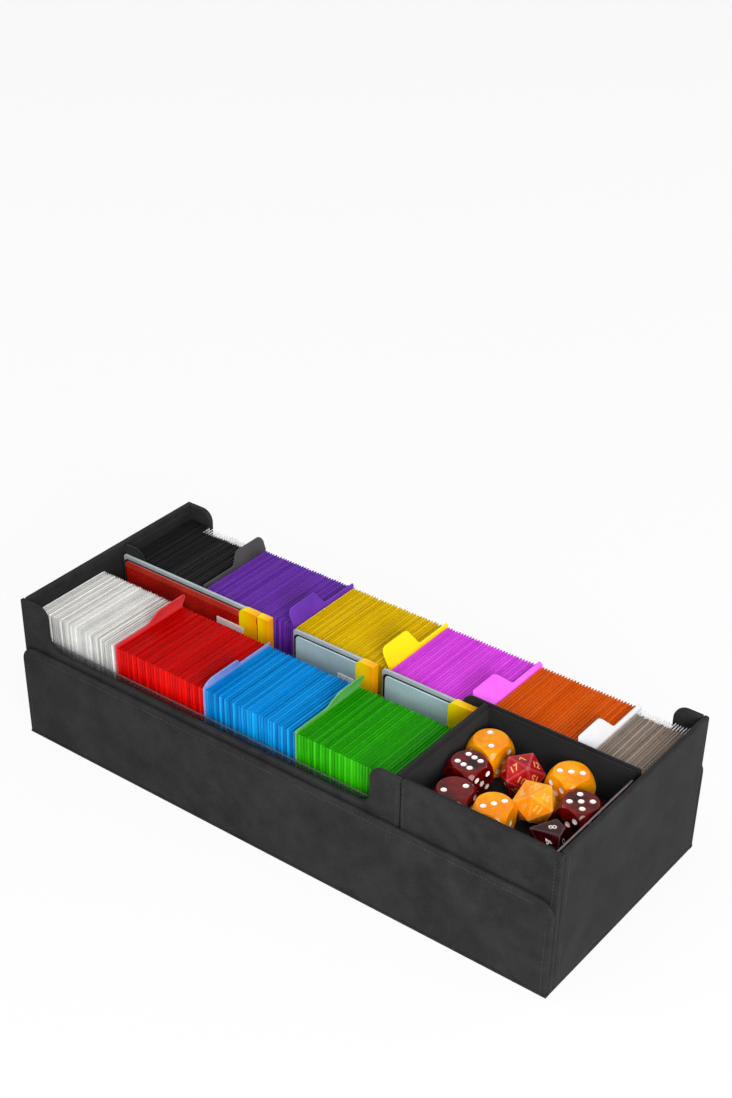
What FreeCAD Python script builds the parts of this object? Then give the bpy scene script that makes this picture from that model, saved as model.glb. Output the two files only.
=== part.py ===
"""Card storage box: a wrapped-board box, filled with cards, that stands in its own folding cover.

Millimetres, +Z up. The origin is at the bottom centre, on the surface that the cover rests on.
+X runs along the box to the end with the dice tray, and +Y to the back.
"""
import FreeCAD, Part
import math
import os
import Sketcher

Vector = FreeCAD.Vector
SAME_PLACE = 1e-4
doc = FreeCAD.newDocument("card_storage_box")
sheet = doc.addObject("Spreadsheet::Sheet", "Sizes")

# Driving dimensions, in millimetres apart from the counts and angles.
SIZES = {
    # cover: a base board with a folding flap along its front and back
    "cover_thickness": 3.0,
    "flap_thickness": 3.3,
    "flap_height": 73.5,
    "flap_clearance": 0.4,
    "flap_end_inset": 0.3,
    "flap_corner_radius": 11.0,
    "fold_radius": 1.2,
    "fold_web_thickness": 1.0,
    "fold_clearance": 0.3,
    "magnet_diameter": 12.0,
    "magnet_thickness": 1.4,
    "magnet_fit": 0.1,
    "magnet_recess": 0.1,
    "magnet_drop": 14.0,
    "magnet_spacing": 128.0,
    "magnet_count": 3,
    "keeper_thickness": 1.0,
    # box: boards wrapped in soft black sheet
    "box_length": 432.0,
    "wall_thickness": 4.0,
    "wrap_radius": 1.3,
    "floor_thickness": 3.0,
    "lining_thickness": 2.0,
    "lining_drop": 4.4,
    "ear_height": 31.3,
    "ear_width": 23.5,
    "seam_ear_width": 23.0,
    "ear_top_radius": 9.0,
    "ear_foot_radius": 9.5,
    "seam_gap": 0.6,
    "seam_offset": 2.3,
    "corner_gap": 0.5,
    "pane_thickness": 1.0,
    "pane_rise": 4.0,
    "partition_thickness": 3.0,
    "partition_ear_width": 17.0,
    "partition_low_height": 45.0,
    "cross_wall_thickness": 3.0,
    # cards, held in sleeves, and the room that the box leaves beside and above them
    "card_width": 65.0,
    "card_height": 92.0,
    "front_row_room": 4.5,
    "back_row_room": 2.0,
    "card_head_room": 10.3,
    "card_clearance": 0.5,
    "card_floor_gap": 0.3,
    "sleeve_pitch": 2.4,
    "sleeve_gap": 0.5,
    "sleeve_gap_depth": 1.2,
    # dividers: plastic sheets, each with a tab that leans over the cards beside it
    "divider_thickness": 1.0,
    "divider_extra_width": 1.0,
    "divider_side_clearance": 0.3,
    "divider_bend_rise": 1.0,
    "divider_lip_rise": 2.4,
    "tab_reach": 15.0,
    "tab_width": 28.0,
    "tab_slope": 6.5,
    "tab_radius": 5.0,
    "tab_foot_radius": 4.0,
    "cut_overrun": 1.0,
    # middle channel, and the packs of spare sleeves that stand along its back
    "channel_width": 21.5,
    "pack_thickness": 5.0,
    "pack_extra_height": 5.0,
    "pack_clearance": 1.0,
    "pack_rim_thickness": 3.4,
    "pack_rim_rise": 1.2,
    "pack_gap": 0.6,
    # dice and the lift-out tray that holds them
    "die_side": 22.4,
    "die_gap": 3.6,
    "die_columns": 4,
    "ball_die_edge": 16.0,
    "kite_die_radius": 13.2,
    "kite_die_half_height": 15.6,
    "tray_wall": 1.5,
    "tray_floor": 2.0,
    "tray_depth": 29.5,
    "tray_rim_drop": 1.2,
    "tray_clearance": 0.4,
    "tray_pane_margin": 2.2,
    "tray_pane_drop": 6.0,
    "riser_thickness": 3.0,
}
for row, (alias, value) in enumerate(SIZES.items(), 1):
    sheet.set(f"A{row}", alias)
    sheet.set(f"B{row}", str(value))
    sheet.setAlias(f"B{row}", alias)
doc.recompute()

# Shares of the free length of a card row that each stack takes, from the left.
FRONT_STACKS = ("white", "red", "blue", "green")
FRONT_STACK_SHARES = (0.240, 0.250, 0.2455, 0.2645)
BACK_STACKS = ("black", "purple", "yellow", "pink", "orange", "clear")
BACK_STACK_SHARES = (0.170, 0.189, 0.191, 0.180, 0.178, 0.092)

# Shares of a tab's reach that its top rises over the cards, and that it leans to the right or, below 0,
# to the left. There is a divider at the right of every stack but the last.
FRONT_DIVIDERS = ("red", "blue", "green")
FRONT_RISE_SHARES = (0.80, 0.70, 0.80)
FRONT_LEAN_SHARES = (0.30, 0.35, 0.30)
BACK_DIVIDERS = ("black", "purple", "yellow", "pink", "white")
BACK_RISE_SHARES = (0.73, 0.83, 0.93, 0.63, 0.66)
BACK_LEAN_SHARES = (-0.23, -0.31, -0.45, -0.80, -0.57)

# Places of the packs along the channel, and the share of each pack that its end band covers.
PACKS = ("red", "first_grey", "second_grey")
PACK_START_SHARES = (0.002, 0.506, 0.7485)
PACK_LENGTH_SHARES = (0.443, 0.228, 0.248)
PACK_BAND_SHARES = (0.192, 0.212, 0.28)

# Places of the dice on the tray floor, from its left front corner, and their turn in degrees.
ORANGE_DICE_SHARES = ((0.136, 0.800, -8), (0.682, 0.832, -18), (0.492, 0.220, 12))
GARNET_DICE_SHARES = ((0.156, 0.500, -8), (0.235, 0.196, 8), (0.872, 0.598, -8))
RED_BALL_DIE_SHARES = (0.406, 0.726, 15)
ORANGE_BALL_DIE_SHARES = (0.610, 0.522, -20)
DARK_KITE_DIE_SHARES = (0.836, 0.284, 40)
DIE_CORNER_SHARE = 0.70


def size(name):
    """Gives the expression for one named size."""
    return f"Sizes.{name}"


def plus(*terms):
    return "(" + " + ".join(terms) + ")"


def minus(first, *terms):
    return "(" + " - ".join((first,) + terms) + ")"


def times(term, factor):
    return f"({term} * {factor})"


def half(term):
    return f"({term} / 2)"


def number(text):
    """Works out an expression at the sizes in the sheet."""
    return float(sheet.evalExpression(text))


# Heights
BOX_UNDER = size("cover_thickness")
FLOOR_TOP = plus(BOX_UNDER, size("floor_thickness"))
CARD_FOOT = plus(FLOOR_TOP, size("card_floor_gap"))
RIM = plus(CARD_FOOT, size("card_height"), size("card_head_room"))
LOW_EDGE = minus(RIM, size("ear_height"))
PARTITION_LOW = plus(BOX_UNDER, size("partition_low_height"))
PANE_TOP = plus(LOW_EDGE, size("pane_rise"))
LINING_TOP = minus(RIM, size("lining_drop"))
TRAY_RIM = minus(RIM, size("tray_rim_drop"))
TRAY_FLOOR_TOP = minus(TRAY_RIM, size("tray_depth"))
TRAY_UNDER = minus(TRAY_FLOOR_TOP, size("tray_floor"))

# Lines across the width, from the front
SKIN = plus(size("wall_thickness"), size("pane_thickness"))
FRONT_ROW_WIDTH = plus(size("card_width"), size("front_row_room"))
BACK_ROW_WIDTH = plus(size("card_width"), size("back_row_room"))
BOX_WIDTH = plus(times(SKIN, 2), FRONT_ROW_WIDTH, size("channel_width"), size("partition_thickness"),
                 BACK_ROW_WIDTH)
FRONT = f"(-{BOX_WIDTH} / 2)"
BACK = half(BOX_WIDTH)
FRONT_IN = plus(FRONT, size("wall_thickness"))
FRONT_ROW = plus(FRONT_IN, size("pane_thickness"))
CHANNEL_FRONT = plus(FRONT_ROW, FRONT_ROW_WIDTH)
PARTITION_FRONT = plus(CHANNEL_FRONT, size("channel_width"))
BACK_ROW = plus(PARTITION_FRONT, size("partition_thickness"))
BACK_IN = minus(BACK, size("wall_thickness"))
BACK_ROW_END = minus(BACK_IN, size("pane_thickness"))
FLAP_REACH = plus(BACK, size("flap_clearance"), size("flap_thickness"))
DIVIDER_REACH = plus(size("card_width"), size("divider_extra_width"))

# Lines along the length, from the left
LEFT = f"(-{size('box_length')} / 2)"
RIGHT = half(size("box_length"))
LEFT_IN = plus(LEFT, size("wall_thickness"))
LEFT_LINED = plus(LEFT_IN, size("lining_thickness"))
RIGHT_IN = minus(RIGHT, size("wall_thickness"))
RIGHT_LINED = minus(RIGHT_IN, size("lining_thickness"))
TRAY_INSIDE = times(plus(size("die_side"), size("die_gap")), size("die_columns"))
TRAY_RIGHT = minus(RIGHT_LINED, size("tray_clearance"))
TRAY_PANE_RIGHT = minus(TRAY_RIGHT, size("tray_pane_margin"))
TRAY_IN_RIGHT = minus(TRAY_PANE_RIGHT, size("tray_wall"))
TRAY_IN_LEFT = minus(TRAY_IN_RIGHT, TRAY_INSIDE)
TRAY_LEFT = minus(TRAY_IN_LEFT, size("tray_wall"))
BAY_LEFT = minus(TRAY_LEFT, size("tray_clearance"))
CROSS_WALL_LEFT = minus(BAY_LEFT, size("cross_wall_thickness"))
SEAM = plus(BAY_LEFT, size("seam_offset"))

# Lines across the tray
TRAY_FRONT = plus(FRONT_IN, size("tray_clearance"))
TRAY_IN_FRONT = plus(TRAY_FRONT, size("tray_wall"))
TRAY_BACK = minus(PARTITION_FRONT, size("tray_clearance"))
TRAY_IN_BACK = minus(TRAY_BACK, size("tray_wall"))

parts = []


def part(obj, label):
    """Names a finished piece, which gets a file of its own."""
    obj.Label = label
    parts.append(obj)
    return obj


def set_place(obj, x="0", y="0", z="0"):
    for axis, text in zip("xyz", (x, y, z)):
        obj.setExpression(f"Placement.Base.{axis}", text)


def block(name, x_low, x_high, y_low, y_high, z_low, z_high):
    """Makes a plain board between six lines."""
    box = doc.addObject("Part::Box", name)
    box.setExpression("Length", minus(x_high, x_low))
    box.setExpression("Width", minus(y_high, y_low))
    box.setExpression("Height", minus(z_high, z_low))
    set_place(box, x_low, y_low, z_low)
    return box


def draw(sketch, corners):
    """Draws a closed outline whose corners follow expressions."""
    first = sketch.GeometryCount
    places = [Vector(number(x), number(y), 0) for x, y in corners]
    count = len(corners)
    for i, place in enumerate(places):
        sketch.addGeometry(Part.LineSegment(place, places[(i + 1) % count]), False)
    for i in range(count):
        following = first + (i + 1) % count
        sketch.addConstraint(Sketcher.Constraint("Coincident", first + i, 2, following, 1))
    for i, (x, y) in enumerate(corners):
        for kind, text, value in (("DistanceX", x, places[i].x), ("DistanceY", y, places[i].y)):
            bound = Sketcher.Constraint(kind, -1, 1, first + i, 1, value)
            sketch.setExpression(f"Constraints[{sketch.addConstraint(bound)}]", text)


def new_sketch(body, name, plane):
    """Puts an empty sketch on one of the body's own origin planes."""
    sketch = body.newObject("Sketcher::SketchObject", name)
    support = next(f for f in body.Origin.OriginFeatures if f.Role == plane)
    sketch.AttachmentSupport = [(support, "")]
    sketch.MapMode = "FlatFace"
    return sketch


def pad(body, name, plane, corners, length):
    sketch = new_sketch(body, f"{name}_outline", plane)
    draw(sketch, corners)
    feature = body.newObject("PartDesign::Pad", f"{name}_pad")
    feature.Profile = sketch
    feature.setExpression("Length", length)
    doc.recompute()
    return feature


def round_edges(body, base, name, radius, chosen):
    """Rounds those edges of a feature that the test picks."""
    names = [f"Edge{i}" for i, edge in enumerate(base.Shape.Edges, 1) if chosen(edge)]
    fillet = body.newObject("PartDesign::Fillet", name)
    fillet.Base = (base, names)
    fillet.setExpression("Radius", size(radius))
    doc.recompute()
    return fillet


def span(edge, axis):
    """Gives the length of an edge along one axis, from its ends."""
    ends = [getattr(v.Point, axis) for v in edge.Vertexes]
    return max(ends) - min(ends)


def crosses(axis, corners):
    """Tests for the edges that run along the thickness at the given corners of an outline."""
    across = "xz" if axis == "y" else "yz"
    places = [(number(a), number(b)) for a, b in corners]

    def test(edge):
        if span(edge, across[0]) > SAME_PLACE or span(edge, across[1]) > SAME_PLACE:
            return False
        point = edge.Vertexes[0].Point
        here = [getattr(point, a) for a in across]
        return any(math.dist(here, place) < SAME_PLACE for place in places)
    return test


def flat_on(axis):
    """Tests for the edges that lie on either face of a board."""
    def test(edge):
        middle = edge.valueAt((edge.FirstParameter + edge.LastParameter) / 2)
        ends = [getattr(v.Point, axis) for v in edge.Vertexes] + [getattr(middle, axis)]
        return max(ends) - min(ends) < SAME_PLACE
    return test


def wrapped_board(name, plane, corners, thickness, rounding=()):
    """Makes a board of some outline, with rounded corners and with rounded, wrapped edges."""
    axis = {"XZ_Plane": "y", "YZ_Plane": "x"}[plane]
    body = doc.addObject("PartDesign::Body", name)
    feature = pad(body, name, plane, corners, thickness)
    for radius, places in rounding:
        feature = round_edges(body, feature, f"{name}_{radius}", radius, crosses(axis, places))
    round_edges(body, feature, f"{name}_wrap", "wrap_radius", flat_on(axis))
    return body


def upright(x_low, x_high, z_low, z_high):
    """Gives the corners of a plain rectangle."""
    return [(x_low, z_low), (x_high, z_low), (x_high, z_high), (x_low, z_high)]


def eared(left, right, left_ear, right_ear, foot=BOX_UNDER, low=LOW_EDGE):
    """Gives the corners of a wall that drops to a low edge between two ears, and which are rounded."""
    ear_right = plus(left, left_ear)
    ear_left = minus(right, right_ear)
    tops = [(ear_left, RIM), (ear_right, RIM)]
    feet = [(ear_left, low), (ear_right, low)]
    corners = [(left, foot), (right, foot), (right, RIM), tops[0], *feet, tops[1], (left, RIM)]
    return corners, [("ear_top_radius", tops), ("ear_foot_radius", feet)]


def disc_places():
    """Gives the places along the length of a row of magnets or keepers."""
    count = SIZES["magnet_count"]
    return [times(size("magnet_spacing"), i - (count - 1) / 2) for i in range(count)]


def disc_row(name, y_middle, thickness, diameter=size("magnet_diameter")):
    """Makes a row of discs that lie in a front or back board, with their axes across it."""
    discs = []
    for i, x in enumerate(disc_places()):
        disc = doc.addObject("Part::Cylinder", f"{name}_{i}")
        disc.setExpression("Radius", half(diameter))
        disc.setExpression("Height", thickness)
        disc.Placement = FreeCAD.Placement(Vector(), FreeCAD.Rotation(Vector(1, 0, 0), 90))
        set_place(disc, x, plus(y_middle, half(thickness)), minus(size("flap_height"), size("magnet_drop")))
        discs.append(disc)
    row = doc.addObject("Part::Compound", name)
    row.Links = discs
    return row


def with_pockets(body, name, y_middle, thickness):
    """Cuts the round pockets that hold a row of discs into a board."""
    cut = doc.addObject("Part::Cut", name)
    cut.Base = body
    wide = plus(size("magnet_diameter"), times(size("magnet_fit"), 2))
    cut.Tool = disc_row(f"{name}_pockets", y_middle, thickness, wide)
    return cut


# Cover

def make_cover():
    end = minus(RIGHT, size("flap_end_inset"))
    base = block("cover_base", f"(-{end})", end, FRONT, BACK, "0", BOX_UNDER)
    part(base, "cover_base_panel")
    pocket = plus(size("magnet_thickness"), size("magnet_recess"))
    for side, sign in (("front", -1), ("back", 1)):
        outer = times(FLAP_REACH, sign)
        axis = times(minus(FLAP_REACH, size("fold_radius")), sign)
        bead = doc.addObject("Part::Cylinder", f"{side}_bead")
        bead.setExpression("Radius", size("fold_radius"))
        bead.setExpression("Height", times(end, 2))
        bead.Placement = FreeCAD.Placement(Vector(), FreeCAD.Rotation(Vector(0, 1, 0), 90))
        set_place(bead, f"(-{end})", axis, size("fold_radius"))
        edges = (axis, FRONT) if sign < 0 else (BACK, axis)
        web = block(f"{side}_web", f"(-{end})", end, *edges, "0", size("fold_web_thickness"))
        fold = doc.addObject("Part::Fuse", f"{side}_fold")
        fold.Base = bead
        fold.Tool = web
        part(fold, f"{side}_fold_strip")

        foot = plus(times(size("fold_radius"), 2), size("fold_clearance"))
        corners = upright(f"(-{end})", end, foot, size("flap_height"))
        body = wrapped_board(f"{side}_flap", "XZ_Plane", corners, size("flap_thickness"),
                             [("flap_corner_radius", corners[2:])])
        inner = times(minus(FLAP_REACH, size("flap_thickness")), sign)
        set_place(body, y=inner if sign < 0 else outer)
        middle = plus(inner, times(half(pocket), sign))
        part(with_pockets(body, f"{side}_flap_cut", middle, pocket), f"{side}_flap_board")
        seat = times(plus(size("magnet_recess"), half(size("magnet_thickness"))), sign)
        part(disc_row(f"{side}_magnets", plus(inner, seat), size("magnet_thickness")),
             f"{side}_flap_magnets")


# Box

def make_box():
    part(block("floor_board", LEFT_IN, RIGHT_IN, FRONT_IN, BACK_IN, BOX_UNDER, FLOOR_TOP), "box_floor")

    wall = size("wall_thickness")
    ear = size("ear_width")
    keeper = size("keeper_thickness")
    corners, rounding = eared(LEFT, SEAM, ear, size("seam_ear_width"))
    front = wrapped_board("front", "XZ_Plane", corners, wall, rounding)
    corners, rounding = eared(LEFT_IN, RIGHT_IN, minus(ear, wall), minus(ear, wall))
    back = wrapped_board("back", "XZ_Plane", corners, wall, rounding)
    for side, body, inside, face, sign in (("front", front, FRONT_IN, FRONT, 1),
                                           ("back", back, BACK, BACK, -1)):
        set_place(body, y=inside)
        middle = plus(face, times(half(keeper), sign))
        part(with_pockets(body, f"{side}_wall_cut", middle, keeper), f"{side}_wall")
        part(disc_row(f"{side}_keepers", middle, keeper), f"{side}_keeper_plates")

    panel = wrapped_board("bay_front", "XZ_Plane",
                          upright(plus(SEAM, size("seam_gap")), RIGHT, BOX_UNDER, RIM), wall)
    set_place(panel, y=FRONT_IN)
    middle = plus(FRONT, half(keeper))
    part(with_pockets(panel, "bay_front_cut", middle, keeper), "bay_front_panel")

    left = wrapped_board("left_end", "YZ_Plane", upright(FRONT_IN, BACK, BOX_UNDER, RIM), wall)
    set_place(left, x=LEFT)
    part(left, "left_end_wall")
    behind_corner = plus(FRONT_IN, size("corner_gap"))
    right = wrapped_board("right_end", "YZ_Plane", upright(behind_corner, BACK, BOX_UNDER, RIM), wall)
    set_place(right, x=RIGHT_IN)
    part(right, "right_end_wall")

    part(block("left_lining", LEFT_IN, LEFT_LINED, FRONT_IN, BACK_IN, FLOOR_TOP, LINING_TOP),
         "left_end_lining")
    part(block("right_lining", RIGHT_LINED, RIGHT_IN, behind_corner, BACK_IN, FLOOR_TOP, LINING_TOP),
         "right_end_lining")
    part(block("front_pane", LEFT_LINED, CROSS_WALL_LEFT, FRONT_IN, FRONT_ROW, FLOOR_TOP, PANE_TOP),
         "front_clear_pane")
    part(block("back_pane", LEFT_LINED, RIGHT_LINED, BACK_ROW_END, BACK_IN, FLOOR_TOP, PANE_TOP),
         "back_clear_pane")


def make_partition():
    """Makes the wall between the channel and the back row, which rises again beside the tray."""
    rise = minus(CROSS_WALL_LEFT, size("partition_ear_width"))
    corners, rounding = eared(LEFT_LINED, RIGHT_LINED, size("partition_ear_width"),
                              minus(RIGHT_LINED, rise), FLOOR_TOP, PARTITION_LOW)
    wall = wrapped_board("partition", "XZ_Plane", corners, size("partition_thickness"), rounding)
    set_place(wall, y=BACK_ROW)
    part(wall, "partition_wall")


def make_bay():
    """Makes the bay at the right of the front row, with the risers that carry the tray."""
    part(block("cross", CROSS_WALL_LEFT, BAY_LEFT, FRONT_IN, PARTITION_FRONT, FLOOR_TOP, RIM),
         "bay_cross_wall")
    riser = size("riser_thickness")
    part(block("left_riser", BAY_LEFT, plus(BAY_LEFT, riser), FRONT_IN, PARTITION_FRONT, FLOOR_TOP,
               TRAY_UNDER), "bay_left_riser")
    behind_corner = plus(FRONT_IN, size("corner_gap"))
    part(block("right_riser", minus(RIGHT_LINED, riser), RIGHT_LINED, behind_corner, PARTITION_FRONT,
               FLOOR_TOP, TRAY_UNDER), "bay_right_riser")


# Tray and dice

def make_tray():
    part(block("tray_base", TRAY_LEFT, TRAY_RIGHT, TRAY_FRONT, TRAY_BACK, TRAY_UNDER, TRAY_FLOOR_TOP),
         "tray_floor")
    up = (TRAY_FLOOR_TOP, TRAY_RIM)
    part(block("tray_left", TRAY_LEFT, TRAY_IN_LEFT, TRAY_FRONT, TRAY_BACK, *up), "tray_left_wall")
    part(block("tray_front", TRAY_IN_LEFT, TRAY_PANE_RIGHT, TRAY_FRONT, TRAY_IN_FRONT, *up),
         "tray_front_wall")
    part(block("tray_back", TRAY_IN_LEFT, TRAY_PANE_RIGHT, TRAY_IN_BACK, TRAY_BACK, *up),
         "tray_back_wall")
    part(block("tray_pane", TRAY_IN_RIGHT, TRAY_PANE_RIGHT, TRAY_IN_FRONT, TRAY_IN_BACK, TRAY_FLOOR_TOP,
               minus(TRAY_RIM, size("tray_pane_drop"))), "tray_clear_pane")


def on_tray(shares, height):
    """Gives the place on the tray floor of a die whose middle is at some height above it."""
    x_share, y_share, turn = shares
    x = plus(TRAY_IN_LEFT, times(TRAY_INSIDE, x_share))
    y = plus(TRAY_IN_FRONT, times(minus(TRAY_IN_BACK, TRAY_IN_FRONT), y_share))
    return x, y, plus(TRAY_FLOOR_TOP, height)


def cube_dice(name, places):
    """Makes a group of six-sided dice: cubes whose corners are rounded by a ball."""
    dice = []
    side = size("die_side")
    for i, shares in enumerate(places):
        cube = doc.addObject("Part::Box", f"{name}_cube_{i}")
        for length in ("Length", "Width", "Height"):
            cube.setExpression(length, side)
        middle = f"(-{side} / 2)"
        set_place(cube, middle, middle, middle)
        ball = doc.addObject("Part::Sphere", f"{name}_ball_{i}")
        ball.setExpression("Radius", times(side, DIE_CORNER_SHARE))
        die = doc.addObject("Part::Common", f"{name}_{i}")
        die.Base = cube
        die.Tool = ball
        die.Placement = FreeCAD.Placement(Vector(), FreeCAD.Rotation(Vector(0, 0, 1), shares[2]))
        set_place(die, *on_tray(shares, half(side)))
        dice.append(die)
    group = doc.addObject("Part::Compound", name)
    group.Links = dice
    return part(group, name)


def solid_of(faces):
    """Makes a solid from flat faces, each a ring of points."""
    shell = Part.Shell([Part.Face(Part.makePolygon(list(ring) + [ring[0]])) for ring in faces])
    return Part.Solid(shell)


def ball_faces(edge):
    """Gives the twenty triangles of a regular solid with the given edge."""
    golden = (1 + math.sqrt(5)) / 2
    points = []
    for a in (-1, 1):
        for b in (-golden, golden):
            points += [Vector(0, a, b), Vector(a, b, 0), Vector(b, 0, a)]
    points = [p * (edge / 2) for p in points]
    near = edge * (1 + golden) / 2
    count = len(points)
    rings = []
    for i in range(count):
        for j in range(i + 1, count):
            for k in range(j + 1, count):
                ring = points[i], points[j], points[k]
                if all(ring[n].distanceToPoint(ring[n - 1]) < near for n in range(3)):
                    rings.append(ring)
    return rings


def kite_faces(radius, half_height):
    """Gives the ten kites of a die with two points and a zigzag waist."""
    turn = math.pi / 5
    waist = half_height * (1 - math.cos(turn)) / (1 + math.cos(turn))
    around = []
    for i in range(10):
        level = waist if i % 2 else -waist
        around.append(Vector(radius * math.cos(i * turn), radius * math.sin(i * turn), level))
    rings = []
    for i in range(10):
        tip = Vector(0, 0, half_height if i % 2 == 0 else -half_height)
        rings.append((tip, around[i - 1], around[i], around[(i + 1) % 10]))
    return rings


def faced_die(name, faces, shares):
    """Makes a many-sided die that rests on its first face."""
    ring = faces[0]
    normal = (ring[1] - ring[0]).cross(ring[2] - ring[0])
    normal.normalize()
    reach = normal.dot(ring[0])
    down = normal if reach > 0 else normal * -1
    settle = FreeCAD.Rotation(down, Vector(0, 0, -1))
    turn = FreeCAD.Rotation(Vector(0, 0, 1), shares[2])
    place = Vector(*(number(text) for text in on_tray(shares, "0")))
    die = doc.addObject("Part::Feature", name)
    die.Shape = solid_of(faces)
    die.Placement = FreeCAD.Placement(place + Vector(0, 0, abs(reach)), turn.multiply(settle))
    return part(die, name)


def make_dice():
    cube_dice("orange_dice", ORANGE_DICE_SHARES)
    cube_dice("garnet_dice", GARNET_DICE_SHARES)
    ball = ball_faces(number(size("ball_die_edge")))
    faced_die("red_twenty_sided_die", ball, RED_BALL_DIE_SHARES)
    faced_die("orange_twenty_sided_die", ball, ORANGE_BALL_DIE_SHARES)
    kites = kite_faces(number(size("kite_die_radius")), number(size("kite_die_half_height")))
    faced_die("dark_ten_sided_die", kites, DARK_KITE_DIE_SHARES)


# Cards and dividers

def card_stack(name, x_low, length, y_low):
    """Makes a stack of sleeved cards: a block with fine gaps between the sleeves all round it."""
    body = doc.addObject("PartDesign::Body", f"{name}_stack")
    width, height = size("card_width"), size("card_height")
    base = pad(body, f"{name}_cards", "YZ_Plane", upright("0", width, "0", height), length)
    sketch = new_sketch(body, f"{name}_gap_outline", "YZ_Plane")
    deep = size("sleeve_gap_depth")
    over = size("sleeve_pitch")
    draw(sketch, upright(f"(-{over})", plus(width, over), f"(-{over})", plus(height, over)))
    draw(sketch, upright(deep, minus(width, deep), deep, minus(height, deep)))
    sketch.setExpression("AttachmentOffset.Base.z", minus(over, half(size("sleeve_gap"))))
    gap = body.newObject("PartDesign::Pocket", f"{name}_gap")
    gap.Profile = sketch
    gap.Reversed = True
    gap.setExpression("Length", size("sleeve_gap"))
    doc.recompute()
    if gap.Shape.Volume >= base.Shape.Volume:
        raise RuntimeError(f"{name}: the gap between the sleeves cuts nothing")
    gaps = body.newObject("PartDesign::LinearPattern", f"{name}_gaps")
    gaps.Originals = [gap]
    along = next(f for f in body.Origin.OriginFeatures if f.Role == "X_Axis")
    gaps.Direction = (along, [""])
    count = max(2, math.floor(number(length) / number(over)) - 1)
    gaps.Occurrences = count
    gaps.setExpression("Length", times(over, count - 1))
    body.Tip = gaps
    set_place(body, x_low, y_low, CARD_FOOT)
    return part(body, f"{name}_card_stack")


def divider_outline(name, reach, lip, top, depth, tab_first, tab_last):
    """Makes a block of a divider's outline: a low lip, and a tab whose corners and feet are rounded."""
    corners = [("0", "0"), (reach, "0")]
    tops, feet = [], []
    if tab_last == reach:
        tops.append((reach, top))
        corners += tops
    else:
        feet.append((plus(tab_last, size("tab_slope")), lip))
        tops.append((tab_last, top))
        corners += [(reach, lip), feet[-1], tops[-1]]
    tops.append((tab_first, top))
    corners.append(tops[-1])
    if tab_first != "0":
        feet.append((minus(tab_first, size("tab_slope")), lip))
        corners += [feet[-1], ("0", lip)]
    body = doc.addObject("PartDesign::Body", f"{name}_outline_block")
    feature = pad(body, f"{name}_outline", "YZ_Plane", corners, depth)
    for radius, chosen in (("tab_radius", tops), ("tab_foot_radius", feet)):
        feature = round_edges(body, feature, f"{name}_{radius}", radius, crosses("x", chosen))
    return body


def divider(name, rise_share, lean_share, x_low, row_end, tab_first, tab_last):
    """Makes a divider: a plastic sheet, bent over the cards so that its tab leans to one side."""
    thick, over = size("divider_thickness"), size("cut_overrun")
    left = times(size("tab_reach"), max(-lean_share, 0))
    right = times(size("tab_reach"), max(lean_share, 0))
    bend = plus(size("card_height"), size("divider_bend_rise"))
    lip = plus(size("card_height"), size("divider_lip_rise"))
    top = plus(size("card_height"), times(size("tab_reach"), rise_share))
    tip = minus(right, left)
    bent = [("0", "0"), (thick, "0"), (thick, bend), (plus(thick, tip), top), (tip, top), ("0", bend)]
    y_low = minus(row_end, size("divider_side_clearance"), DIVIDER_REACH)
    sheet_body = doc.addObject("PartDesign::Body", f"{name}_sheet")
    pad(sheet_body, f"{name}_bend", "XZ_Plane", bent, DIVIDER_REACH)
    set_place(sheet_body, x_low, plus(y_low, DIVIDER_REACH), CARD_FOOT)
    depth = plus(thick, left, right, times(over, 2))
    outline = divider_outline(name, DIVIDER_REACH, lip, top, depth, tab_first, tab_last)
    set_place(outline, minus(x_low, left, over), y_low, CARD_FOOT)
    cut = doc.addObject("Part::Common", f"{name}_tabbed_sheet")
    cut.Base = sheet_body
    cut.Tool = outline
    return part(cut, f"{name}_divider")


def make_row(names, shares, x_low, x_high, row_end, tabs):
    """Fills a row with stacks that stand at its end, with a divider at the right of all but the last."""
    step = plus(times(size("card_clearance"), 2), size("divider_thickness"))
    free = minus(x_high, x_low, times(step, len(names) - 1), times(size("card_clearance"), 2))
    x = plus(x_low, size("card_clearance"))
    card_front = minus(row_end, size("card_clearance"), size("card_width"))
    for i, (name, share) in enumerate(zip(names, shares)):
        length = times(free, share)
        card_stack(name, x, length, card_front)
        x = plus(x, length)
        if i < len(names) - 1:
            colour, rise_share, lean_share, first, last = tabs[i]
            divider(colour, rise_share, lean_share, plus(x, size("card_clearance")), row_end, first, last)
            x = plus(x, step)


def make_rows():
    at_front = ("0", size("tab_width"))
    at_back = (minus(DIVIDER_REACH, size("tab_width")), DIVIDER_REACH)
    front_ends = (at_back, at_front, at_back)
    back_ends = (at_back, at_front, at_front, at_front, at_front)
    front_tabs = [(n, r, s, *e) for n, r, s, e in zip(FRONT_DIVIDERS, FRONT_RISE_SHARES,
                                                      FRONT_LEAN_SHARES, front_ends)]
    back_tabs = [(n, r, s, *e) for n, r, s, e in zip(BACK_DIVIDERS, BACK_RISE_SHARES, BACK_LEAN_SHARES,
                                                     back_ends)]
    make_row(FRONT_STACKS, FRONT_STACK_SHARES, LEFT_LINED, CROSS_WALL_LEFT, CHANNEL_FRONT, front_tabs)
    make_row(BACK_STACKS, BACK_STACK_SHARES, LEFT_LINED, RIGHT_LINED, BACK_ROW_END, back_tabs)


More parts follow.
